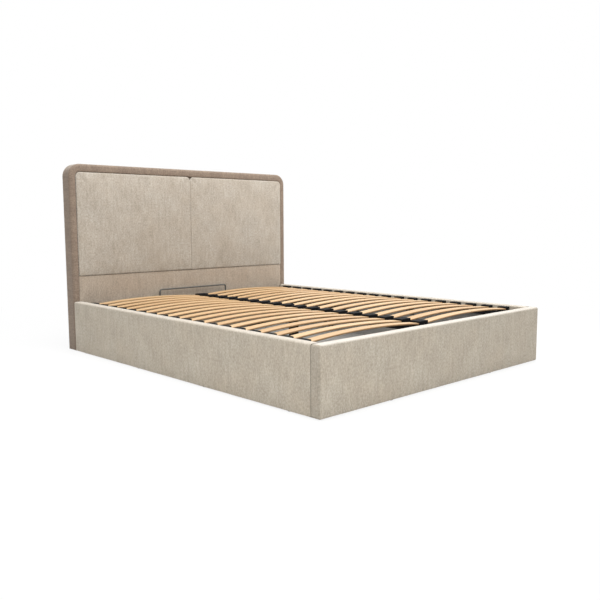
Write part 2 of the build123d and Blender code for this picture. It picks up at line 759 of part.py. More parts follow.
bush_middle_x = (plate_outer_x + plate_inner_x) / 2
bush_outer_x = bush_middle_x + bush_width / 2
bush_inner_x = bush_middle_x - bush_width / 2
guide_pin_start = -bush_outer_x - running_gap - pivot_head_thickness
guide_pin_steps = [
    (strut_collar_radius, -bush_outer_x - running_gap),
    (strut_pin_radius, -bush_inner_x),
    (strut_collar_radius, -bracket_outer_x),
    (strut_pin_radius, -bracket_inner_x),
]
write(stepped_pins(guide_pin_start, guide_pin_steps, [guide_pin]), "guide_pins")

with BuildPart() as guide_bushes:
    with BuildSketch(Plane.YZ.offset(-bush_outer_x)):
        with Locations(guide_pin):
            Circle(bush_radius)
            Circle(strut_pin_radius, mode=Mode.SUBTRACT)
    extrude(amount=bush_width)
    mirror(about=Plane.YZ)
write(guide_bushes, "guide_bushes")

write(stepped_pins(-bracket_outer_x, [(strut_pin_radius, -bracket_inner_x)] + strut_pin_steps,
                   [strut_top]), "strut_top_pins")


def square_tube(plane, length):
    """Hollow square tube that starts on a plane and runs along its normal."""
    with BuildPart() as tube:
        with BuildSketch(plane):
            Rectangle(tube_size, tube_size)
            Rectangle(tube_size - 2 * tube_wall, tube_size - 2 * tube_wall, mode=Mode.SUBTRACT)
        extrude(amount=length)
    return tube


# Lifting frame: side tubes, end tubes between them and a centre tube
side_tube_x = frame_side_x - tube_size / 2
end_tube_span = 2 * (frame_side_x - tube_size)
side_tube_plane = Plane(origin=(-side_tube_x, frame_foot_y, tube_mid_z), z_dir=(0, 1, 0))
write_pair(square_tube(side_tube_plane, frame_head_y - frame_foot_y), "frame_side_tube")

with BuildPart() as frame_end_tubes:
    for middle_y in (frame_foot_y + tube_size / 2, frame_head_y - tube_size / 2):
        end_plane = Plane(origin=(-end_tube_span / 2, middle_y, tube_mid_z), z_dir=(1, 0, 0))
        add(square_tube(end_plane, end_tube_span).part)
write(frame_end_tubes, "frame_end_tubes")

centre_plane = Plane(origin=(0, frame_foot_y + tube_size, tube_mid_z), z_dir=(0, 1, 0))
write(square_tube(centre_plane, frame_head_y - frame_foot_y - 2 * tube_size), "frame_centre_tube")

cap_head_thickness = 3
cap_plug_depth = 12
cap_plug_size = tube_size - 2 * tube_wall - 2 * screw_clearance
with BuildPart() as tube_caps:
    for face_y, outwards in ((frame_foot_y, -1), (frame_head_y, 1)):
        cap_plane = Plane(origin=(-side_tube_x, face_y, tube_mid_z), z_dir=(0, outwards, 0))
        with BuildSketch(cap_plane):
            Rectangle(tube_size, tube_size)
        extrude(amount=cap_head_thickness)
        with BuildSketch(cap_plane):
            Rectangle(cap_plug_size, cap_plug_size)
        extrude(amount=-cap_plug_depth)
    mirror(about=Plane.YZ)
write(tube_caps, "tube_caps")

# Slats: bowed beech laminate in two rows, set into holders on the tubes
slat_count = 18
slat_width = 53
slat_thickness = 8
slat_bow = 17
slat_insert = 28
slat_clearance = 0.3
holder_width = 57
holder_height = 26
holder_rounding = 3
outer_holder_length = 35
centre_holder_length = 72
holder_pocket_rise = 9
head_slat_distance = 111.5
foot_slat_distance = 121.5
outer_mouth_x = frame_side_x - outer_holder_length
inner_mouth_x = centre_holder_length / 2
slat_mouth_z = tube_top + holder_pocket_rise + slat_thickness / 2
head_slat_y = headboard_front - head_slat_distance
foot_slat_y = foot_inner + foot_slat_distance
slat_pitch = (head_slat_y - foot_slat_y) / (slat_count - 1)
slat_ys = [foot_slat_y + number * slat_pitch for number in range(slat_count)]
half_chord = (outer_mouth_x - inner_mouth_x) / 2
slat_end_angle = 2 * atan2(slat_bow, half_chord)
slat_middle_x = (outer_mouth_x + inner_mouth_x) / 2


def slat_pocket(side):
    """Straight pocket for one end of a left slat, from its tip out past the mouth."""
    length = slat_insert + slat_clearance + cut_overrun
    middle = slat_insert + slat_clearance - length / 2
    with BuildPart() as pocket:
        with BuildSketch(Plane.XZ.offset(-slat_width / 2 - slat_clearance)):
            with Locations((
                -slat_middle_x + side * (half_chord + middle * cos(slat_end_angle)),
                slat_mouth_z - middle * sin(slat_end_angle),
            )):
                Rectangle(length, slat_thickness + 2 * slat_clearance,
                          rotation=-side * degrees(slat_end_angle))
        extrude(amount=slat_width + 2 * slat_clearance)
    return pocket


def holder_block(middle_x, length):
    """A holder's block at Y = 0, rounded along its top edges."""
    with BuildPart() as block:
        with BuildSketch(Plane.XY.offset(tube_top)):
            with Locations((middle_x, 0)):
                RectangleRounded(length, holder_width, holder_rounding)
        extrude(amount=holder_height)
        fillet(block.faces().sort_by(Axis.Z)[-1].edges(), holder_rounding)
    return block


def at_every_slat(piece):
    """Copies of a piece at the Y places of all the slats."""
    with BuildPart() as row:
        with Locations(*[(0, y, 0) for y in slat_ys]):
            add(piece.part)
    return row


# One left slat at Y = 0: an arc between the mouths of its holders, with straight ends
# that run on along the arc's tangents into the pockets
with BuildPart() as left_slat:
    with BuildSketch(Plane.XZ.offset(-slat_width / 2)):
        with BuildLine():
            tips = []
            for face in (-slat_thickness / 2, slat_thickness / 2):
                mouth_x = half_chord + face * sin(slat_end_angle)
                mouth_z = slat_mouth_z + face * cos(slat_end_angle)
                tip_x = mouth_x + slat_insert * cos(slat_end_angle)
                tip_z = mouth_z - slat_insert * sin(slat_end_angle)
                ThreePointArc(
                    (-slat_middle_x - mouth_x, mouth_z),
                    (-slat_middle_x, slat_mouth_z + slat_bow + face),
                    (-slat_middle_x + mouth_x, mouth_z),
                )
                for side in (-1, 1):
                    tips.append((-slat_middle_x + side * tip_x, tip_z))
                    Line((-slat_middle_x + side * mouth_x, mouth_z), tips[-1])
            Line(tips[0], tips[2])
            Line(tips[1], tips[3])
        make_face()
    extrude(amount=slat_width)

with BuildPart() as side_holder:
    add(holder_block(-frame_side_x + outer_holder_length / 2, outer_holder_length).part)
    add(slat_pocket(-1).part, mode=Mode.SUBTRACT)
with BuildPart() as centre_holder:
    add(holder_block(0, centre_holder_length).part)
    add(slat_pocket(1).part, mode=Mode.SUBTRACT)
    mirror(slat_pocket(1).part, about=Plane.YZ, mode=Mode.SUBTRACT)
write_pair(at_every_slat(left_slat), "slats")
write_pair(at_every_slat(side_holder), "slat_holders")
write(at_every_slat(centre_holder), "slat_holders_centre")

# Mattress stop: a bent rod on the outer face of the head tube
stop_half_width = 270
stop_top = 343
stop_rod_radius = 5
stop_bend_radius = 15
stop_weld_height = 4
stop_y = frame_head_y + stop_rod_radius
stop_foot_z = tube_bottom + stop_weld_height
stop_plane = Plane.XZ.offset(-stop_y)
with BuildPart() as mattress_stop:
    with BuildLine(stop_plane):
        FilletPolyline(
            (-stop_half_width, stop_foot_z),
            (-stop_half_width, stop_top - stop_rod_radius),
            (stop_half_width, stop_top - stop_rod_radius),
            (stop_half_width, stop_foot_z),
            radius=stop_bend_radius,
        )
    with BuildSketch(Plane(origin=(-stop_half_width, stop_y, stop_foot_z), z_dir=(0, 0, 1))):
        Circle(stop_rod_radius)
    sweep()
write(mattress_stop, "mattress_stop")
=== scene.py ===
"""Upholstered storage bed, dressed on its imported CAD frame.

Metres. X runs across the bed, Y towards the headboard, Z up from the floor.
"""

from math import atan2, cos, pi, radians, sin

import bpy
import numpy as np
from mathutils import Matrix, Vector


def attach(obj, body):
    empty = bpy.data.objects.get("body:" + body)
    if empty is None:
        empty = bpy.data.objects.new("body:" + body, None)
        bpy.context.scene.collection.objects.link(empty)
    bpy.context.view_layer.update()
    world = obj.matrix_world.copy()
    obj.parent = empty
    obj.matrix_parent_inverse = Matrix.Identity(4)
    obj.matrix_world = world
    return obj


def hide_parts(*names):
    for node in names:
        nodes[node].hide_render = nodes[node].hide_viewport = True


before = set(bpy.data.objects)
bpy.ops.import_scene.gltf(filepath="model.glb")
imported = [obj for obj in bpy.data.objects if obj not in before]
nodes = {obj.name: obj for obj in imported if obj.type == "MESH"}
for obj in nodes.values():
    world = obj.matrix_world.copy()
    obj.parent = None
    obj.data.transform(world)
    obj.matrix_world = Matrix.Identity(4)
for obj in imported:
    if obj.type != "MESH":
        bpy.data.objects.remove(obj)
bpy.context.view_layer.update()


# Boards: the headboard's front board, the pads' backing boards and the rails' cores are
# chipboard, sawn to size, screwed and glued. Thin dark brown cloth lines the front board's
# face and the boards before it, and shows as a dark line round the pads: its dark brown is
# partly the cloth's own colour and partly painted shade for the gaps round the pads.
board_front = 1.012
lining_thickness = 0.0002


class Socket:
    """One output of a shader node. Arithmetic with it adds Math nodes to its material."""

    def __init__(self, tree, link):
        self.tree = tree
        self.link = link

    def node(self, kind, settings, sockets, out=0):
        """A new node: its settings first, then the values or links of its sockets."""
        made = self.tree.nodes.new("ShaderNode" + kind)
        for name, value in settings.items():
            setattr(made, name, value)
        for key, value in sockets.items():
            if isinstance(value, Socket):
                self.tree.links.new(value.link, made.inputs[key])
            else:
                made.inputs[key].default_value = value
        return Socket(self.tree, made.outputs[out] if made.outputs else None)

    def maths(self, operation, first, second):
        """A Math node of two numbers or sockets."""
        return self.node("Math", {"operation": operation}, {0: first, 1: second})

    def __add__(self, other):
        return self.maths("ADD", self, other)

    def __sub__(self, other):
        return self.maths("SUBTRACT", self, other)

    def __rsub__(self, other):
        return self.maths("SUBTRACT", other, self)

    def __mul__(self, other):
        return self.maths("MULTIPLY", self, other)

    __radd__ = __add__
    __rmul__ = __mul__

    def scaled(self, x, y, z=1):
        """These coordinates with each of their three numbers multiplied."""
        return self.node("VectorMath", {"operation": "MULTIPLY"}, {0: self, 1: (x, y, z)})

    def noise(self, scale, detail=2, roughness=0.5):
        """Noise from 0 to 1 at these coordinates, with scale spots to the metre."""
        return self.node("TexNoise", {}, {"Vector": self, "Scale": scale, "Detail": detail,
                                          "Roughness": roughness})

    def stored(self, name):
        """The attribute of this name that the mesh holds at each point."""
        return self.node("Attribute", {"attribute_name": name}, {}, out=2)

    def between(self, low, high):
        """The colour this far from low to high."""
        return self.node("Mix", {"data_type": "RGBA"}, {0: self, 6: low, 7: high}, out=2)

    def bump(self, strength, distance):
        """A normal from this height, whose full rise is distance."""
        return self.node("Bump", {}, {"Strength": strength, "Distance": distance, "Height": self})

    def surface(self, sockets):
        """The material's Principled shader with these sockets."""
        shader = self.node("BsdfPrincipled", {}, sockets)
        self.node("OutputMaterial", {}, {"Surface": shader})


def new_finish(name):
    """An empty material, and the Object coordinates that its nodes start from."""
    finish = bpy.data.materials.new(name)
    finish.use_nodes = True
    finish.node_tree.nodes.clear()
    coordinates = finish.node_tree.nodes.new("ShaderNodeTexCoord")
    return finish, Socket(finish.node_tree, coordinates.outputs["Object"])


def colour(red, green, blue):
    """A linear colour from display values of 0 to 255."""
    shares = np.array([red, green, blue]) / 255
    light = np.where(shares > 0.04045, ((shares + 0.055) / 1.055) ** 2.4, shares / 12.92)
    return (*light.tolist(), 1.0)


def dress(finish, *names):
    """Gives CAD nodes a material."""
    for name in names:
        for place in nodes[name].material_slots:
            place.material = finish


chipboard, place = new_finish("chipboard")
flakes = place.noise(260, 3, 0.7)
blotches = place.noise(35, 2)
chipboard_tone = 1.6 * flakes + 0.5 * blotches - 0.55
raw_board = chipboard_tone.between(colour(150, 118, 78), colour(214, 186, 142))
depth = place.node("SeparateXYZ", {}, {0: place}, out=1)
behind_lining = depth.maths("GREATER_THAN", depth, board_front + lining_thickness)
# dark brown lining cloth, darkened further as painted shade for the gaps round the pads
lining_cloth_and_gap_shade = flakes.between(colour(66, 54, 43), colour(88, 74, 60))
place.surface({
    "Base Color": behind_lining.between(lining_cloth_and_gap_shade, raw_board),
    "Roughness": 0.86 + 0.1 * flakes,
    "Normal": flakes.bump(0.5, 0.0006),
})
dress(chipboard, "headboard_board", "pad_backing_boards",
      "side_rail_core_left", "side_rail_core_right", "foot_rail_core")


# Headboard timbers: planed softwood, two stiles standing and three timbers across, glued
# and stapled behind the board. The grain runs along each piece.
def softwood(name, along):
    """Planed softwood, its grain drawn out to twelve times its width along one axis."""
    finish, place = new_finish(name)
    drawn_out = [1.0, 1.0, 1.0]
    drawn_out[along] = 0.08
    fibres = place.scaled(*drawn_out).noise(120, 4, 0.6)
    rings = place.scaled(*drawn_out).noise(22, 2)
    tone = 0.9 * rings + 0.5 * fibres - 0.2
    place.surface({
        "Base Color": tone.between(colour(238, 206, 152), colour(196, 148, 92)),
        "Roughness": 0.6 + 0.15 * fibres,
        "Normal": fibres.bump(0.3, 0.0003),
    })
    return finish


dress(softwood("softwood_upright", 2), "headboard_stile_left", "headboard_stile_right")
dress(softwood("softwood_across", 0), "headboard_top_timber", "headboard_mid_timber",
      "headboard_bottom_timber")

# Headboard border: a strip of foam and taupe cloth, glued round the board's edges and
# over its front, where it frames the pads. It runs from the floor up, across and down.
half_width = 0.860
headboard_front = 1.004
headboard_top = 1.131
upholstery_bottom = 0.004
foam = 0.008
border_width = 0.040
border_top_spare = 0.0075
border_corner = 0.075
border_back = 1.093
border_front_round = 0.014
border_back_round = 0.003
border_seam_round = 0.005
border_swell = 0.0015
border_swell_back = 1.010
border_most_proud = 0.003
border_slack = 0.0004
leg_round = 0.007
leg_round_steps = 5
leg_draw = 1.4


def rounded(corners, spacing):
    """The points of an open profile through corners, each given as (a, b, radius).

    A corner's arc touches both of its sides at radius / tan(half its angle) from the
    corner, and has 4, 7 or 17 points, as its radius is up to 5 mm, up to 20 mm or more.
    The straight runs between arcs are cut into steps no longer than spacing.
    """
    corners = np.array(corners, float)
    place, radius = corners[:, :2], corners[:, 2]
    points = [place[:1]]
    for here, before, after, bend in zip(place[1:-1], place[:-2], place[2:], radius[1:-1]):
        back = (before - here) / np.linalg.norm(before - here)
        ahead = (after - here) / np.linalg.norm(after - here)
        half = np.arccos(np.clip(back @ ahead, -1, 1)) / 2
        middle = here + (back + ahead) / np.linalg.norm(back + ahead) * bend / np.sin(half)
        first = here + back * bend / np.tan(half) - middle
        last = here + ahead * bend / np.tan(half) - middle
        steps = 1 + 3 * (bend > 0) + 3 * (bend > 0.005) + 10 * (bend > 0.02)
        share = np.linspace(0, 1, steps)[:, None]
        chord = first * (1 - share) + last * share
        size = np.linalg.norm(chord, axis=1, keepdims=True)
        points.append(middle + chord / np.maximum(size, 1e-9) * bend)
    points.append(place[-1:])
    points = np.concatenate(points)
    gaps = np.linalg.norm(np.diff(points, axis=0), axis=1)
    cuts = np.maximum(np.ceil(gaps / spacing).astype(int), 1)
    run = np.repeat(np.arange(len(gaps)), cuts)
    step = (np.arange(len(run)) - np.repeat(np.cumsum(cuts) - cuts, cuts)) / cuts[run]
    filled = points[run] * (1 - step[:, None]) + points[run + 1] * step[:, None]
    return np.concatenate([filled, points[-1:]])


def travelled(points):
    """How far along a line of points each one lies."""
    gaps = np.linalg.norm(np.diff(points, axis=0), axis=1)
    return np.concatenate([[0], np.cumsum(gaps)])


def unevenness(along, across, seed, reach):
    """Slack of stretched cloth: the mean of twelve sines in seeded directions.

    Their waves are 90 to 420 mm long, and their mean is scaled to about reach.
    """
    random = np.random.default_rng(seed)
    turn = random.uniform(0, pi, 12)
    length = random.uniform(0.09, 0.42, 12)
    phase = random.uniform(0, 2 * pi, 12)
    line = along[..., None] * np.cos(turn) + across[..., None] * np.sin(turn)
    return 1.8 * reach * np.sin(2 * pi * line / length + phase).mean(-1)


def new_piece(name, points, faces, cloth, finish, slot, body="bed"):
    """A smooth-shaded mesh piece with its cloth coordinates, finish and body.

    faces are lists of point numbers, and cloth one pair of metres for each face corner.
    slot is not used.
    """
    mesh = bpy.data.meshes.new(name)
    mesh.from_pydata(points.reshape(-1, 3).tolist(), [], faces)
    mesh.uv_layers.new(name="cloth").data.foreach_set("uv", np.asarray(cloth, float).ravel())
    mesh.materials.append(finish)
    mesh.shade_smooth()
    mesh.set_sharp_from_angle(angle=radians(40))
    piece = bpy.data.objects.new(name, mesh)
    bpy.context.scene.collection.objects.link(piece)
    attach(piece, body)
    return piece


def carried(rows, along, around, end_axes):
    """Faces and cloth coordinates of a closed ring carried along a path.

    rows[i, j] is point j of the ring at station i. Each point is joined to the next one
    round the ring and the next one along the path, and both end rings are closed flat.
    The cloth lies at along[i] metres one way and around[j] the other, and on the ends
    at the two coordinates end_axes. Faces are turned so that the volume is positive.
    """
    stations, ring = rows.shape[:2]
    i, j = np.meshgrid(np.arange(stations - 1), np.arange(ring), indexing="ij")
    corners = [(i, j), (i + 1, j), (i + 1, j + 1), (i, j + 1)]
    faces = np.stack([a * ring + b % ring for a, b in corners], -1).reshape(-1, 4)
    cloth = np.stack([np.stack([along[a], around[b]], -1) for a, b in corners], -2)
    cloth = cloth.reshape(-1, 4, 2)
    caps = [np.arange(ring), (stations - 1) * ring + np.arange(ring)[::-1]]
    points = rows.reshape(-1, 3)
    a, b, c, d = points[faces].transpose(1, 0, 2)
    inward = (np.cross(a, b) * c + np.cross(a, c) * d).sum() < 0
    turn = -1 if inward else 1
    cap_faces = [cap[::turn] for cap in caps]
    cap_cloth = [points[cap][:, end_axes] for cap in cap_faces]
    all_faces = faces[:, ::turn].tolist() + [cap.tolist() for cap in cap_faces]
    return all_faces, np.concatenate([cloth[:, ::turn].reshape(-1, 2), *cap_cloth])


def cloth_finish(name, light, dark, warmth):
    """Short-pile upholstery cloth, read from the cloth coordinates.

    Warp and weft are two sine grids 3.3 mm apart. Uneven yarn gives small slubs, drawn
    out along the warp, and the brushed pile gives broad soft shadings. Two attributes
    from 0 to 1 change the shade: one darkens the cloth as painted shade where it turns into
    a seam, and also makes the foot rail's end faces darker; the other whitens it as a painted
    highlight on the faces that look up, where light from above falls.
    """
    finish, place = new_finish(name)
    lie = place.node("UVMap", {"uv_map": "cloth"}, {})
    weft = lie.node("TexWave", {"bands_direction": "X"}, {"Vector": lie, "Scale": 95.0})
    warp = lie.node("TexWave", {"bands_direction": "Y"}, {"Vector": lie, "Scale": 95.0})
    slubs = lie.scaled(1, 0.6).noise(150, 3, 0.75)
    yarn = lie.scaled(1, 0.2).noise(60, 3, 0.7)
    pile = lie.scaled(1, 0.7).noise(9, 3, 0.55)
    tone = 2.6 * slubs + 1.2 * yarn + 0.7 * pile - 1.75
    tinted = (2.2 * lie.noise(5, 2) - 0.6).between(light, warmth)
    # painted highlight: a near-white mixed into the cloth where the rails' tops face the light
    # from above
    with_painted_highlight = lie.stored("painted_highlight").between(tone.between(dark, tinted), colour(240, 238, 236))
    lie.surface({
        # painted shade: a dark brown mixed in where the cloth turns into a seam; it also darkens
        # the foot rail's end faces
        "Base Color": lie.stored("seam_shade_and_darker_ends").between(with_painted_highlight, colour(40, 34, 28)),
        "Roughness": 0.82 + 0.12 * pile,
        "Sheen Weight": 0.9,
        "Sheen Roughness": 0.28,
        "Sheen Tint": colour(250, 244, 234),
        "Normal": (0.25 * weft + 0.25 * warp + slubs).bump(0.35, 0.0007),
    })
    return finish


border_cloth = cloth_finish("border_cloth", colour(135, 119, 104), colour(101, 86, 74),
                            colour(136, 119, 103))

# The outline goes up the left leg, across and down the right one, and each leg's end is
# rounded under, which draws its front back by leg_draw times as much. The profile is (inset
# from the outline, Y): the skin from the back round the front to the pads' side, then the
# side that is glued to the board. Across the top the strip is wider by border_top_spare.
outline = rounded([
    (-half_width, upholstery_bottom, 0), (-half_width, headboard_top, border_corner),
    (half_width, headboard_top, border_corner), (half_width, upholstery_bottom, 0),
], 0.03)
turn = np.linspace(0, pi / 2, leg_round_steps)
leg_end = upholstery_bottom + leg_round * (1 - np.cos(turn))
leg = np.stack([np.full(leg_round_steps, -half_width), leg_end], 1)
draw = np.concatenate([1 - np.sin(turn), np.zeros(len(outline) - 2), 1 - np.sin(turn[::-1])])
draw = draw[:, None] * leg_round
outline = np.concatenate([leg, outline[1:-1], leg[::-1] * (-1, 1)])
heading = np.gradient(outline, axis=0)
heading /= np.linalg.norm(heading, axis=1, keepdims=True)
inwards = heading[:, ::-1] * (1, -1)
skin = rounded([
    (foam, border_back, 0), (0, border_back, border_back_round),
    (0, headboard_front, border_front_round),
    (border_width, headboard_front, border_seam_round), (border_width, board_front, 0),
], 0.012)
inside = rounded([(border_width, board_front, 0), (foam, board_front, 0.0005),
                  (foam, border_back, 0)], 0.05)[1:-1]
profile = np.concatenate([skin, inside])
around = travelled(np.concatenate([profile, profile[:1]]))
along = travelled(outline)
on_front = profile[:, 1] < border_swell_back
crown = np.sin(pi * np.clip(profile[:, 0] / border_width, 0, 1)) * on_front * border_swell
lift = unevenness(along[:, None], around[None, :-1], 3, border_slack)
lift = lift * (np.arange(len(profile)) < len(skin))
wider = border_top_spare * heading[:, :1] ** 2
inset = np.maximum(profile[:, 0], draw)
inset = inset + wider * np.clip((profile[:, 0] - foam) / (border_width - foam), 0, 1)
rows = np.empty((len(outline), len(profile), 3))
rows[..., 0] = outline[:, :1] + inwards[:, :1] * inset
rows[..., 1] = np.maximum(profile[:, 1] - (crown + lift) * on_front,
                          headboard_front - border_most_proud + leg_draw * draw)
rows[..., 2] = outline[:, 1:] + inwards[:, 1:] * inset
headboard_border = new_piece("headboard_border_cloth", rows,
                             *carried(rows, along, around, [0, 1]), border_cloth, "border_fabric")
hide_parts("headboard_border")

# Headboard lower panel: thin foam and sand-coloured cloth over a board, fixed flat
# between the border's legs. It fills the front below the two pads.
panel_cloth = cloth_finish("panel_cloth", colour(172, 160, 145), colour(136, 124, 110),
                           colour(170, 153, 135))
panel_half_width = 0.8192
panel_bottom = 0.024
panel_top = 0.4566
panel_front = 1.006
panel_edge = 0.003
panel_slack = 0.0005


def end_rounding(low, high, radius, spacing):
    """Stations from low to high, and how far each profile is drawn in there.

    Each end is a quarter circle: at the angle t it lies radius * (1 - cos t) from the
    end, and is drawn in by radius * (1 - sin t).
    """
    turn = np.linspace(0, pi / 2, 5)
    edge = radius * (1 - np.cos(turn))
    count = int(np.ceil((high - low - 2 * radius) / spacing)) + 1
    run = np.linspace(low + radius, high - radius, count)
    stations = np.concatenate([low + edge[:-1], run, high - edge[-2::-1]])
    draw = radius * (1 - np.sin(turn[:-1]))
    return stations, np.concatenate([draw, np.zeros(count), draw[::-1]])


def outward(profile):
    """The unit normals of a closed profile of points, away from its inside."""
    heading = np.roll(profile, -1, 0) - np.roll(profile, 1, 0)
    heading /= np.maximum(np.linalg.norm(heading, axis=1, keepdims=True), 1e-9)
    after = np.roll(profile, -1, 0)
    area = (profile[:, 0] * after[:, 1] - profile[:, 1] * after[:, 0]).sum()
    return heading[:, ::-1] * (1, -1) * np.sign(area)


stations, draw = end_rounding(-panel_half_width, panel_half_width, panel_edge, 0.03)
draw = draw[:, None]
profile = rounded([(board_front, panel_bottom, 0), (panel_front, panel_bottom, panel_edge),
                   (panel_front, panel_top, panel_edge), (board_front, panel_top, 0)], 0.03)
around = travelled(np.concatenate([profile, profile[:1]]))
front = profile[:, 0] < panel_front + panel_edge
lift = unevenness(stations[:, None], around[None, :-1], 5, panel_slack) * front * (draw == 0)
shift = (lift - draw * front)[..., None] * outward(profile)
rows = np.empty((len(stations), len(profile), 3))
rows[..., 0] = stations[:, None]
rows[..., 1:] = profile + shift
lower_panel = new_piece("headboard_lower_panel_cloth", rows,
                        *carried(rows, stations, around, [1, 2]), panel_cloth, "panel_fabric")
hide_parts("headboard_lower_pad")

# Headboard pads: two foam slabs in light beige cloth, each stretched over its own board
# and stapled behind. The foam swells the front, and border and pads press on each other.
pad_cloth = cloth_finish("pad_cloth", colour(176, 169, 159), colour(138, 129, 116),
                         colour(171, 160, 146))
pad_gap = 0.0002
pad_outer = 0.8182
pad_bottom = 0.4580
pad_top = 1.0818
pad_corners = (0.005, 0.027)
pad_back = 1.0115
pad_side = 0.0060
pad_roll = 0.0050
pad_crown = 0.0040
pad_spare = 0.0040
pad_cap = 0.0080
pad_ease = 0.0300
pad_slip = 0.2
pad_voxel = 0.0075
pad_slack = 0.0012
pad_slack_fade = 0.01
pad_most_proud = 0.986
pad_edge_slope = 0.3
pinned_depth = 0.003
swell_frames = 20
pad_half = np.array([pad_outer - pad_gap, pad_top - pad_bottom]) / 2
pad_middle = np.array([pad_outer + pad_gap, pad_top + pad_bottom]) / 2


def pad_shell():
    """The left pad before it swells, as rings from its back edge over the front.

    It starts larger than its place by pad_spare all round, which the pressing takes off.
    Each ring is the pad's rounded outline, drawn in along a quarter circle round the edge and
    then in equal steps towards the middle. The front is crowned by pad_crown times
    (1 - u^2) * (1 - v^2), where u and v go from -1 to 1 across the pad.
    """
    half_x, half_z = pad_half + pad_spare
    low, high = pad_corners
    outline = rounded([
        (0, -half_z, 0), (half_x, -half_z, low), (half_x, half_z, high),
        (-half_x, half_z, high), (-half_x, -half_z, low), (0, -half_z, 0),
    ], 0.02)[:-1]
    turn = np.concatenate([[0, 0], np.linspace(0, pi / 2, 7)])
    edge = outline - pad_roll * (1 - np.cos(turn))[:, None, None] * outward(outline)
    reach = np.linspace(0, 1, 22)[1:, None, None]
    rings = np.concatenate([edge, edge[-1] * (1 - 0.98 * reach)])
    flank = np.concatenate([[0, pad_side / 2], pad_side + pad_roll * np.sin(turn[2:]),
                            np.full(len(reach), pad_side + pad_roll)])
    bulge = (1 - (rings / (half_x, half_z)) ** 2).prod(-1) * pad_crown
    bulge[:len(edge)] = 0
    rows = np.empty((*rings.shape[:2], 3))
    rows[..., 0] = rings[..., 0] - pad_middle[0]
    rows[..., 1] = pad_back - flank[:, None] - bulge
    rows[..., 2] = rings[..., 1] + pad_middle[1]
    return rows


def places_of(mesh):
    """The mesh's points as an array of places."""
    points = np.empty(len(mesh.vertices) * 3)
    mesh.vertices.foreach_get("co", points)
    return points.reshape(-1, 3)


def applied(piece, kind, **settings):
    """The piece's mesh after one modifier, which is then removed."""
    modifier = piece.modifiers.new("step", kind)
    for name, value in settings.items():
        setattr(modifier, name, value)
    finished = piece.evaluated_get(bpy.context.evaluated_depsgraph_get())
    mesh = bpy.data.meshes.new_from_object(finished)
    piece.modifiers.remove(modifier)
    return mesh


def simulated(piece, pinned):
    """Where cloth under air pressure goes from the mesh's own shape in swell_frames."""
    group = piece.vertex_groups.new(name="pinned")
    group.add(np.flatnonzero(pinned).tolist(), 1.0, "REPLACE")
    cloth = piece.modifiers.new("swelling", "CLOTH")
    cloth.settings.quality = 5
    cloth.settings.mass = 0.3
    cloth.settings.tension_stiffness = 20
    cloth.settings.compression_stiffness = 20
    cloth.settings.shear_stiffness = 8
    cloth.settings.bending_stiffness = 2
    cloth.settings.use_pressure = True
    cloth.settings.uniform_pressure_force = 4
    cloth.settings.vertex_group_mass = "pinned"
    cloth.settings.effector_weights.gravity = 0
    cloth.collision_settings.use_collision = False
    cloth.point_cache.frame_end = swell_frames
    for number in range(1, swell_frames + 1):
        bpy.context.scene.frame_set(number)
    moved = places_of(piece.evaluated_get(bpy.context.evaluated_depsgraph_get()).data)
    piece.modifiers.remove(cloth)
    bpy.context.scene.frame_set(1)
    return moved


def box_cloth(mesh):
    """Cloth coordinates from places: each face takes the two axes across its normal."""
    normals = np.empty(len(mesh.polygons) * 3)
    mesh.polygons.foreach_get("normal", normals)
    facing = np.abs(normals.reshape(-1, 3)) * (1, 1.6, 1)
    totals = np.empty(len(mesh.polygons), int)
    mesh.polygons.foreach_get("loop_total", totals)
    side = np.repeat(facing.argmax(1), totals)
    corner = np.empty(len(mesh.loops), int)
    mesh.loops.foreach_get("vertex_index", corner)
    axes = np.array([[1, 2], [0, 2], [0, 1]])[side]
    lie = np.take_along_axis(places_of(mesh)[corner], axes, 1)
    mesh.uv_layers.new(name="cloth").data.foreach_set("uv", lie.ravel())


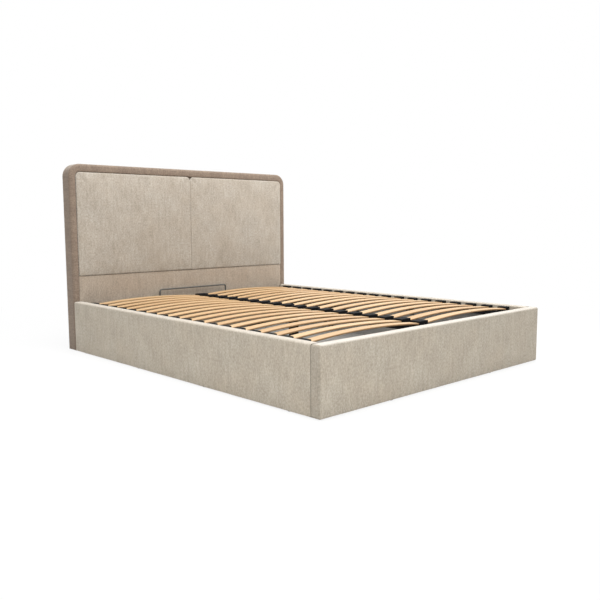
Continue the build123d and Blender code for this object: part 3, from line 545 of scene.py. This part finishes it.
def headboard_pad(side, seed):
    """One pad: its shell remeshed, swollen by the simulation up to a cap, and subdivided.

    A point that the simulation moves by far goes pad_cap * far / (far + pad_ease), and
    only the share pad_slip of that sideways. What swells beyond the pad's rounded
    rectangle is pressed back on to it, as by the border and the other pad. Round the
    rectangle's edge the front turns back along a quarter circle: at the depth d inside
    it, less than the edge's radius r, it lies r - sqrt(r^2 - (r - d)^2) behind the front.
    """
    name = "left" if side < 0 else "right"
    rows = pad_shell() * (-side, 1, 1)
    faces, cloth = carried(rows, np.zeros(len(rows)), np.zeros(rows.shape[1] + 1), [0, 2])
    piece = new_piece(f"headboard_pad_cloth_{name}", rows, faces, cloth, pad_cloth, "pad_fabric")
    piece.data = applied(piece, "REMESH", mode="VOXEL", voxel_size=pad_voxel)
    start = places_of(piece.data)
    moved = simulated(piece, start[:, 1] > board_front - pinned_depth)
    shift = moved - start
    far = np.linalg.norm(shift, axis=1, keepdims=True)
    points = start + shift * (pad_slip, 1, pad_slip) * pad_cap / (far + pad_ease)
    piece.data.vertices.foreach_set("co", points.ravel())
    piece.data = mesh = applied(piece, "SUBSURF", levels=1)
    points = places_of(mesh)
    wave = unevenness(points[:, 0], points[:, 2], seed, pad_slack)
    points[:, 1] -= wave * np.clip((board_front - foam - points[:, 1]) / pad_slack_fade, 0, 1)
    # beyond is how far a point lies past the middle of its corner's arc, in X and in Z, and
    # depth how far it lies inside the rounded rectangle.
    out = points[:, ::2] - pad_middle * (side, 1)
    corner = np.where(out[:, 1:] > 0, pad_corners[1], pad_corners[0])
    excess = np.abs(out) - (pad_half - corner)
    beyond = np.maximum(excess, 0)
    reach = np.linalg.norm(beyond, axis=1, keepdims=True)
    points[:, ::2] -= np.sign(out) * beyond * (1 - corner / np.maximum(reach, corner))
    depth = np.maximum(corner - reach, 0) - np.minimum(excess.max(1, keepdims=True), 0)
    left = np.maximum(pad_roll - depth[:, 0], 0)
    roll = np.sqrt(pad_roll ** 2 - left ** 2) + pad_edge_slope * depth[:, 0]
    nearest = np.maximum(pad_back - pad_side - roll, pad_most_proud)
    points[:, 1] = np.clip(points[:, 1], nearest, board_front)
    mesh.vertices.foreach_set("co", points.ravel())
    mesh.materials.clear()
    mesh.materials.append(pad_cloth)
    mesh.shade_smooth()
    box_cloth(mesh)
    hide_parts(f"headboard_pad_{name}")


headboard_pad(-1, 11)
headboard_pad(1, 12)

# Headboard back: dark non-woven cloth stretched over a thin board and stapled to the
# timbers, with four holes over the heads of the bolts.
felt, place = new_finish("back_cloth")
fibres = place.noise(420, 3, 0.7)
specks = place.node("TexVoronoi", {}, {"Vector": place, "Scale": 420.0})
patches = place.noise(12, 2)
felt_tone = 1.2 * fibres + 0.6 * patches - 0.4
place.surface({
    "Base Color": felt_tone.between(colour(58, 56, 54), colour(98, 95, 92)),
    "Roughness": 0.95,
    "Sheen Weight": 0.2,
    "Normal": (fibres + 0.6 * specks).bump(0.4, 0.0005),
})
dress(felt, "headboard_back_cover")

# Side rails: a board wrapped in thin foam and beige cloth, over the top and under the
# bottom edge. The cloth ends in a lip on the inside, above the lining.
rail_cloth = cloth_finish("rail_cloth", colour(186, 178, 164), colour(148, 139, 124),
                          colour(182, 170, 153))
rail_thickness = 0.050
rail_top = 0.303
lip_bottom = 0.273
rail_inner_x = 0.810
foot_inner = -1.046
wrap = 0.003
seam_round = 0.005
# how deep the cloth rounds into the seam before the painted seam shade is full
seam_shade_depth = 0.0012
rail_slack = 0.0005
rail_sag = 0.001
# how strongly a painted highlight whitens the side rails' tops
side_painted_highlight = 0.12

# The profile is (from the inner face outwards, Z): the skin from the lip over the top and
# down to the bottom edge, then the side that is glued to the core. rail_crest goes from 0 on
# its upright faces to 1 where the cloth faces up, and places the painted highlight there.
rail_skin = rounded([
    (0, lip_bottom, 0), (0, rail_top, 0.006), (rail_thickness, rail_top, 0.010),
    (rail_thickness, upholstery_bottom, 0.008), (0, upholstery_bottom, 0.001),
    (0, upholstery_bottom + wrap, 0),
], 0.03)
rail_inside = rounded([
    (0, upholstery_bottom + wrap, 0), (rail_thickness - foam, upholstery_bottom + wrap, 0.0005),
    (rail_thickness - foam, rail_top - foam, 0.0005), (wrap, rail_top - foam, 0.0005),
    (wrap, lip_bottom, 0.0005), (0, lip_bottom, 0),
], 0.1)[1:-1]
rail_profile = np.concatenate([rail_skin, rail_inside])
rail_around = travelled(np.concatenate([rail_profile, rail_profile[:1]]))
rail_soft = np.arange(len(rail_profile)) < len(rail_skin)
rail_crest = np.clip(1.5 * outward(rail_profile)[:, 1] - 0.5, 0, 1) * rail_soft


def rail_sections(stations, draw, seed, under=0):
    """A rail's profile at every station, uneven as stretched cloth is.

    Towards an end the outer face and the top are drawn in by draw, along the normals
    where the profile is round. The inner face stays, and the bottom rises by the
    share under of it.
    """
    normals = outward(rail_profile)
    lift = unevenness(stations[:, None], rail_around[None, :-1], seed, rail_slack)
    lift = (lift * (draw[:, None] == 0))[..., None]
    draw = draw[:, None, None]
    section = rail_profile + (lift * normals - draw * np.maximum(normals, 0)) * rail_soft[:, None]
    limits = np.array([rail_thickness, rail_top]) - draw
    section = np.where(draw > 0, np.minimum(section, limits), section)
    lowest = upholstery_bottom - rail_sag + under * draw[..., 0]
    section[..., 1] = np.maximum(section[..., 1], lowest)
    return section


def shaded(piece, rows, name, share):
    """Stores a share for the piece's finish at each point of its rings."""
    data = piece.data.attributes.new(name, "FLOAT", "POINT").data
    data.foreach_set("value", np.broadcast_to(share, rows.shape[:-1]).astype(float).ravel())


def side_rail(side, seed):
    """The cloth of one side rail: the rail's profile carried along Y."""
    stations, draw = end_rounding(foot_inner, headboard_front, seam_round, 0.035)
    section = rail_sections(stations, draw, seed)
    rows = np.empty((len(stations), len(rail_profile), 3))
    rows[..., 0] = side * (rail_inner_x + section[..., 0])
    rows[..., 1] = stations[:, None]
    rows[..., 2] = section[..., 1]
    name = "left" if side < 0 else "right"
    piece = new_piece(f"side_rail_cloth_{name}", rows,
                      *carried(rows, stations, rail_around, [0, 2]), rail_cloth, "rail_fabric")
    # painted shade in the seam at the foot end, where the cloth rounds in
    shaded(piece, rows, "seam_shade_and_darker_ends", np.minimum(draw / seam_shade_depth, 1)[:, None])
    # painted highlight on the side rail's top, away from its rounded end
    shaded(piece, rows, "painted_highlight", side_painted_highlight * rail_crest * (draw == 0)[:, None])
    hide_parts(f"side_rail_cover_{name}")


side_rail(-1, 21)
side_rail(1, 22)

# Foot rail: built as the side rails, with the cloth drawn round both ends. It covers the
# ends of the side rails, and the cloths meet in an upright seam on each side.
core_half = half_width - foam
end_round = 0.010
# the foot rail's cloth is darker within this distance of its ends, by end_shade
end_face_reach = 0.003
end_shade = 0.18
# how strongly a painted highlight whitens the foot rail's top
foot_painted_highlight = 0.3
stations, _ = end_rounding(-half_width, half_width, end_round, 0.035)
stations = np.sort(np.concatenate([stations, [-core_half] * 2, [core_half] * 2]))
turn = np.clip((np.abs(stations) - (half_width - end_round)) / end_round, 0, 1)
section = rail_sections(stations, end_round * (1 - np.sqrt(1 - turn ** 2)), 23, 1)
# Beyond the core's ends the foam is solid: there the glued side lies flat on the inner face.
order = np.arange(len(stations))
first_core = np.flatnonzero(stations == -core_half)[-1]
last_core = np.flatnonzero(stations == core_half)[0]
solid = ((order < first_core) | (order > last_core))[:, None] & ~rail_soft
flat = np.zeros(len(rail_profile))
flat[len(rail_skin):] = np.linspace(upholstery_bottom + wrap, lip_bottom, len(rail_inside))
section[..., 0] = np.where(solid, 0, section[..., 0])
section[..., 1] = np.where(solid, flat, section[..., 1])
rows = np.empty((len(stations), len(rail_profile), 3))
rows[..., 0] = stations[:, None]
rows[..., 1] = foot_inner - section[..., 0]
rows[..., 2] = section[..., 1]
foot_rail = new_piece("foot_rail_cloth", rows,
                      *carried(rows, stations, rail_around, [1, 2]), rail_cloth, "rail_fabric")
# the foot rail's end faces are made darker, by end_shade
end_face = np.abs(stations) > half_width - end_face_reach
shaded(foot_rail, rows, "seam_shade_and_darker_ends", end_shade * end_face[:, None])
# painted highlight on the foot rail's top, away from its rounded ends
shaded(foot_rail, rows, "painted_highlight", foot_painted_highlight * rail_crest * (turn == 0)[:, None])
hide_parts("foot_rail_cover")

# Linings and storage floor: hardboard with a matte grey face, stapled inside the rails
# and laid on the glides.
lining, place = new_finish("grey_hardboard")
speckle = place.noise(300, 3, 0.7)
clouds = place.noise(6, 3)
grey_tone = 0.8 * speckle + 0.8 * clouds - 0.3
place.surface({
    "Base Color": grey_tone.between(colour(146, 145, 142), colour(172, 171, 167)),
    "Roughness": 0.55 + 0.2 * clouds,
    "Normal": speckle.bump(0.2, 0.0002),
})
dress(lining, "side_rail_lining_left", "side_rail_lining_right", "foot_rail_lining",
      "floor_panel_foot", "floor_panel_head")

# Joint strip of the floor: an extruded grey plastic profile with a web between two flanges,
# pushed over the meeting edges of the two panels.
strip, place = new_finish("strip_plastic")
streaks = place.scaled(0.05, 1, 1).noise(500, 2)
place.surface({
    "Base Color": streaks.between(colour(104, 106, 107), colour(122, 124, 125)),
    "Roughness": 0.42 + 0.1 * streaks,
})
dress(strip, "floor_joint_strip")

# Glides under rails, headboard and floor, pads of the rest brackets and the centre leg's
# cap: moulded black plastic and rubber, fixed under the wood and on the steel.
rubber, place = new_finish("black_rubber")
dust = place.noise(90, 3)
place.surface({
    "Base Color": dust.between(colour(30, 30, 30), colour(52, 51, 50)),
    "Roughness": 0.75 + 0.15 * dust,
    "Normal": place.noise(900, 2).bump(0.2, 0.0002),
})
dress(rubber, "rest_pads", "centre_leg_cap", "glides")

# Steel parts: the frame of welded square tube, its brackets, lift plates, arms and strut
# cylinders, rest and corner brackets and the centre leg. A black powder coat is baked on,
# and dries to a fine orange peel.
powder_coat, place = new_finish("black_powder_coat")
peel = place.noise(700, 2)
wear = place.noise(25, 4, 0.6)
place.surface({
    "Base Color": wear.between(colour(20, 20, 22), colour(36, 36, 38)),
    "Roughness": 0.42 + 0.16 * wear,
    "Specular IOR Level": 0.15,
    "Normal": peel.bump(0.25, 0.0002),
})
dress(powder_coat, "frame_side_tube_left", "frame_side_tube_right", "frame_end_tubes",
      "frame_centre_tube", "frame_bracket_left", "frame_bracket_right", "lift_plate_left",
      "lift_plate_right", "lift_arm_left", "lift_arm_right", "rest_brackets", "corner_brackets",
      "centre_leg", "strut_cylinder_left", "strut_cylinder_right")

# Pins, screws and bolts: turned or headed steel, zinc plated, with slightly cloudy
# reflections. They join rails, headboard, plates, arms and gas struts.
zinc, place = new_finish("zinc_plate")
bloom = place.noise(140, 3)
place.surface({
    "Base Color": bloom.between(colour(168, 170, 174), colour(206, 207, 205)),
    "Metallic": 1.0,
    "Roughness": 0.25 + 0.25 * bloom,
})
dress(zinc, "headboard_bolts", "bracket_screws", "lift_plate_screws", "arm_pivots",
      "strut_base_pins", "strut_top_pins", "frame_pivots", "guide_pins")

# Rods of the gas struts: steel, hard chromed and ground, with very fine lines round them.
# Each slides out of its cylinder and ends in an eye on the frame's pin.
chrome, place = new_finish("ground_chrome")
lines = place.scaled(1, 1, 6).noise(260, 2)
place.surface({
    "Base Color": lines.between(colour(218, 219, 222), colour(234, 235, 237)),
    "Metallic": 1.0,
    "Roughness": 0.08 + 0.08 * lines,
})
dress(chrome, "strut_rod_left", "strut_rod_right")

# Guide bushes: natural nylon, turned, a milky white. They are pushed on the guide pins
# and run in the slots of the lift plates.
nylon, place = new_finish("natural_nylon")
cloudy = place.noise(160, 2)
place.surface({
    "Base Color": cloudy.between(colour(222, 220, 210), colour(238, 237, 230)),
    "Roughness": 0.35 + 0.1 * cloudy,
})
dress(nylon, "guide_bushes")

# Slat holders and tube caps: moulded black plastic with a fine spark-eroded grain. The
# holders are fixed on top of the tubes, and the caps are pushed into the tubes' ends.
holder_plastic, place = new_finish("holder_plastic")
grain = place.noise(1200, 2)
scuffs = place.noise(60, 3)
place.surface({
    "Base Color": scuffs.between(colour(10, 10, 11), colour(24, 24, 25)),
    "Roughness": 0.6 + 0.2 * scuffs,
    "Specular IOR Level": 0.1,
    "Normal": grain.bump(0.2, 0.0002),
})
dress(holder_plastic, "slat_holders_left", "slat_holders_right", "slat_holders_centre",
      "tube_caps")

# Slats: beech and birch veneers glued and bent in a press, sawn into strips with rounded
# edges and lacquered. Each sits with both ends in its holders.
slat_count = 18
slat_pitch = 1.817 / 17
first_slat_y = -0.9245
slat_middle_x = 0.4005
slat_half_chord = 0.3645
slat_mouth_z = 0.286
slat_bow = 0.017
slat_width = 0.053
slat_thickness = 0.008
slat_insert = 0.028
slat_edge_round = 0.0025
slat_ply_depth = 0.0015
slat_bow_spread = 0.03

# The attribute tone, from 0 to 1, is how dark a slat is. ply is 0 on the faces, and on the
# edges it rises from 0.05 to 1.05 through the thickness, where it draws the veneers.
slat_wood, place = new_finish("slat_wood")
lie = place.node("UVMap", {"uv_map": "cloth"}, {})
figure = lie.scaled(0.045, 1).noise(70, 3, 0.55)
fibres = lie.scaled(0.03, 1).noise(420, 3, 0.6)
pores = lie.scaled(0.12, 1).noise(900, 1)
plies = lie.stored("ply")
face_tone = 0.75 * figure + 0.35 * fibres + 0.5 * lie.stored("tone") - 0.3
face_colour = face_tone.between(colour(197, 167, 126), colour(171, 136, 93))
# The edges are a darker brown than the faces: partly the veneers' own colour, partly painted
# shade for the slats' shaded sides.
edge_colour_and_side_shade = fibres.between(colour(178, 136, 92), colour(140, 101, 63))
slat_layers = plies.maths("PINGPONG", plies, 0.2)
edge_mask = plies.maths("GREATER_THAN", plies, 0.01)
lie.surface({
    "Base Color": (edge_mask * (0.35 + 2.5 * slat_layers)).between(face_colour, edge_colour_and_side_shade),
    "Roughness": 0.42 + 0.16 * fibres,
    "Coat Weight": 0.12,
    "Coat Roughness": 0.35,
    "Normal": (fibres + 0.3 * pores).bump(0.25, 0.0002),
})


def slat_line():
    """A slat's bowed centre line: lengths s from its middle, x, z and the angles there.

    It is an arc through both mouths and the crown, with straight ends along its
    tangents. At the length s from the middle the arc has turned by s / radius.
    """
    radius = (slat_half_chord ** 2 + slat_bow ** 2) / (2 * slat_bow)
    end_turn = 2 * atan2(slat_bow, slat_half_chord)
    arc = radius * end_turn
    ends = arc + slat_insert
    run = np.concatenate([[-ends], np.linspace(-arc, arc, 25), [ends]])
    turn = np.clip(run, -arc, arc) / radius
    over = run - np.clip(run, -arc, arc)
    line_x = radius * np.sin(turn) + over * np.cos(turn)
    fall = radius * (1 - np.cos(turn)) + np.abs(over) * np.sin(end_turn)
    return run, line_x, slat_mouth_z + slat_bow - fall, turn


def slat_row(side, seed):
    """One row of slats: a rounded rectangle carried along each one's centre line.

    Each slat's bow differs by up to slat_bow_spread, times the cosine of 90 degrees * x /
    slat_half_chord, so that its ends stay in the holders' mouths.
    """
    random = np.random.default_rng(seed)
    run, line_x, line_z, turn = slat_line()
    span = np.cos(np.clip(line_x / slat_half_chord, -1, 1) * pi / 2)
    half_y, half_z = slat_width / 2, slat_thickness / 2
    section = rounded([
        (0, -half_z, 0), (half_y, -half_z, slat_edge_round), (half_y, half_z, slat_edge_round),
        (-half_y, half_z, slat_edge_round), (-half_y, -half_z, slat_edge_round),
        (0, -half_z, 0),
    ], 0.02)[:-1]
    around = travelled(np.concatenate([section, section[:1]]))
    on_edge = np.abs(section[:, 0]) > half_y - slat_ply_depth
    ply = np.where(on_edge, section[:, 1] / slat_thickness + 0.55, 0)
    lean_x = line_x[:, None] + section[:, 1] * np.sin(turn)[:, None]
    lean_z = section[:, 1] * np.cos(turn)[:, None]
    points, faces, cloth, tones = [], [], [], []
    for number in range(slat_count):
        bow = 1 + random.uniform(-slat_bow_spread, slat_bow_spread)
        crown = line_z + (bow - 1) * slat_bow * span
        rows = np.empty((len(run), len(section), 3))
        rows[..., 0] = side * (slat_middle_x + lean_x)
        rows[..., 1] = first_slat_y + number * slat_pitch + section[:, 0]
        rows[..., 2] = crown[:, None] + lean_z
        offset = random.uniform(0, 40)
        new_faces, new_cloth = carried(rows, run + offset, around + 3 * offset, [1, 2])
        before = number * lean_x.size
        faces += [[before + corner for corner in face] for face in new_faces]
        cloth.append(new_cloth)
        points.append(rows)
        tones.append(random.uniform(0, 1))
    name = "left" if side < 0 else "right"
    points = np.stack(points)
    piece = new_piece(f"slat_row_{name}", points, faces, np.concatenate(cloth), slat_wood,
                      "slat_wood", "lift_frame")
    shaded(piece, points, "tone", np.array(tones)[:, None, None])
    shaded(piece, points, "ply", ply)
    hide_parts(f"slats_{name}")


slat_row(-1, 31)
slat_row(1, 32)

# Mattress stop: round steel rod, bent twice and welded to the head tube, with a mid-grey
# powder coat.
grey_coat, place = new_finish("grey_powder_coat")
peel = place.noise(700, 2)
wear = place.noise(25, 4, 0.6)
place.surface({
    "Base Color": wear.between(colour(64, 62, 57), colour(84, 82, 76)),
    "Roughness": 0.4 + 0.15 * wear,
    "Normal": peel.bump(0.25, 0.0002),
})
dress(grey_coat, "mattress_stop")

# Studio: a pale floor, soft light from above and from the front left, and a white
# background for the camera. The floor keeps the bed's soft shadow.
floor_near, floor_far = 1.4, 3.4
floor_white = 0.86
room_light = 0.58


def looked_at(tree):
    """1 for rays that show a thing to the camera, also in gloss and glass, 0 for light."""
    path = tree.nodes.new("ShaderNodeLightPath")
    rays = [Socket(tree, path.outputs[name])
            for name in ("Is Camera Ray", "Is Glossy Ray", "Is Transmission Ray")]
    total = rays[0] + rays[1] + rays[2]
    return total.node("Clamp", {}, {0: total})


# The floor shows white beyond floor_far from the middle, and by the share floor_white
# nearer than floor_near, where the rest of what shows is its own grey in the bed's shadow.
bpy.ops.mesh.primitive_circle_add(vertices=96, radius=14, fill_type="NGON", location=(0, 0, 0))
floor = bpy.context.object
floor.name = "studio_floor"
floor_finish, place = new_finish("studio_floor")
matte = place.node("BsdfDiffuse", {}, {"Color": (0.82, 0.82, 0.82, 1)})
glow = place.node("Emission", {}, {"Color": (1, 1, 1, 1), "Strength": 1.0})
far = place.node("VectorMath", {"operation": "LENGTH"}, {0: place}, out=1)
rim = far.node("MapRange", {"interpolation_type": "SMOOTHSTEP"},
               {"Value": far, "From Min": floor_near, "From Max": floor_far,
                "To Min": floor_white, "To Max": 1.0})
white_share = rim * looked_at(floor_finish.node_tree)
shared = place.node("MixShader", {}, {0: white_share, 1: matte, 2: glow})
place.node("OutputMaterial", {}, {"Surface": shared})
floor.data.materials.append(floor_finish)

world = bpy.data.worlds.new("studio")
bpy.context.scene.world = world
world.use_nodes = True
world.node_tree.nodes.clear()
shown = looked_at(world.node_tree)
brightness = room_light + (1 - room_light) * shown
light = shown.node("Background", {}, {"Color": (1, 1, 1, 1), "Strength": brightness})
shown.node("OutputWorld", {}, {"Surface": light})


def softbox(name, place, target, size, power):
    """A square area lamp at a place, turned to a target, which the camera doesn't see."""
    lamp = bpy.data.lights.new(name, "AREA")
    lamp.size = size
    lamp.energy = power
    made = bpy.data.objects.new(name, lamp)
    bpy.context.scene.collection.objects.link(made)
    made.location = place
    made.rotation_euler = (Vector(target) - Vector(place)).to_track_quat("-Z", "Y").to_euler()
    made.visible_camera = False


softbox("softbox_above", (-0.3, -0.3, 3.6), (0, 0, 0.2), 3.6, 190)
softbox("softbox_front_left", (-2.4, -3.0, 1.7), (-0.5, -0.8, 0.2), 2.0, 35)
softbox("softbox_right", (1.9, -0.8, 2.3), (0.6, 1.0, 0.6), 1.0, 34)

# Camera: off the left foot corner, lower than the headboard's top, looking slightly down.
camera_place = (-2.756, -2.989, 0.783)
yaw, pitch, roll = radians(43.41), radians(6.43), radians(-0.24)
camera_data = bpy.data.cameras.new("camera")
camera_data.lens = 41.97
camera_data.sensor_width = 36
camera = bpy.data.objects.new("camera", camera_data)
bpy.context.scene.collection.objects.link(camera)
forward = Vector((sin(yaw) * cos(pitch), cos(yaw) * cos(pitch), -sin(pitch)))
sideways = Vector((cos(yaw), -sin(yaw), 0))
upward = sideways.cross(forward)
right = sideways * cos(roll) + upward * sin(roll)
above = upward * cos(roll) - sideways * sin(roll)
facing = Matrix((right, above, -forward)).transposed().to_4x4()
camera.matrix_world = Matrix.Translation(camera_place) @ facing
bpy.context.scene.camera = camera
bpy.context.scene.view_settings.view_transform = "Standard"
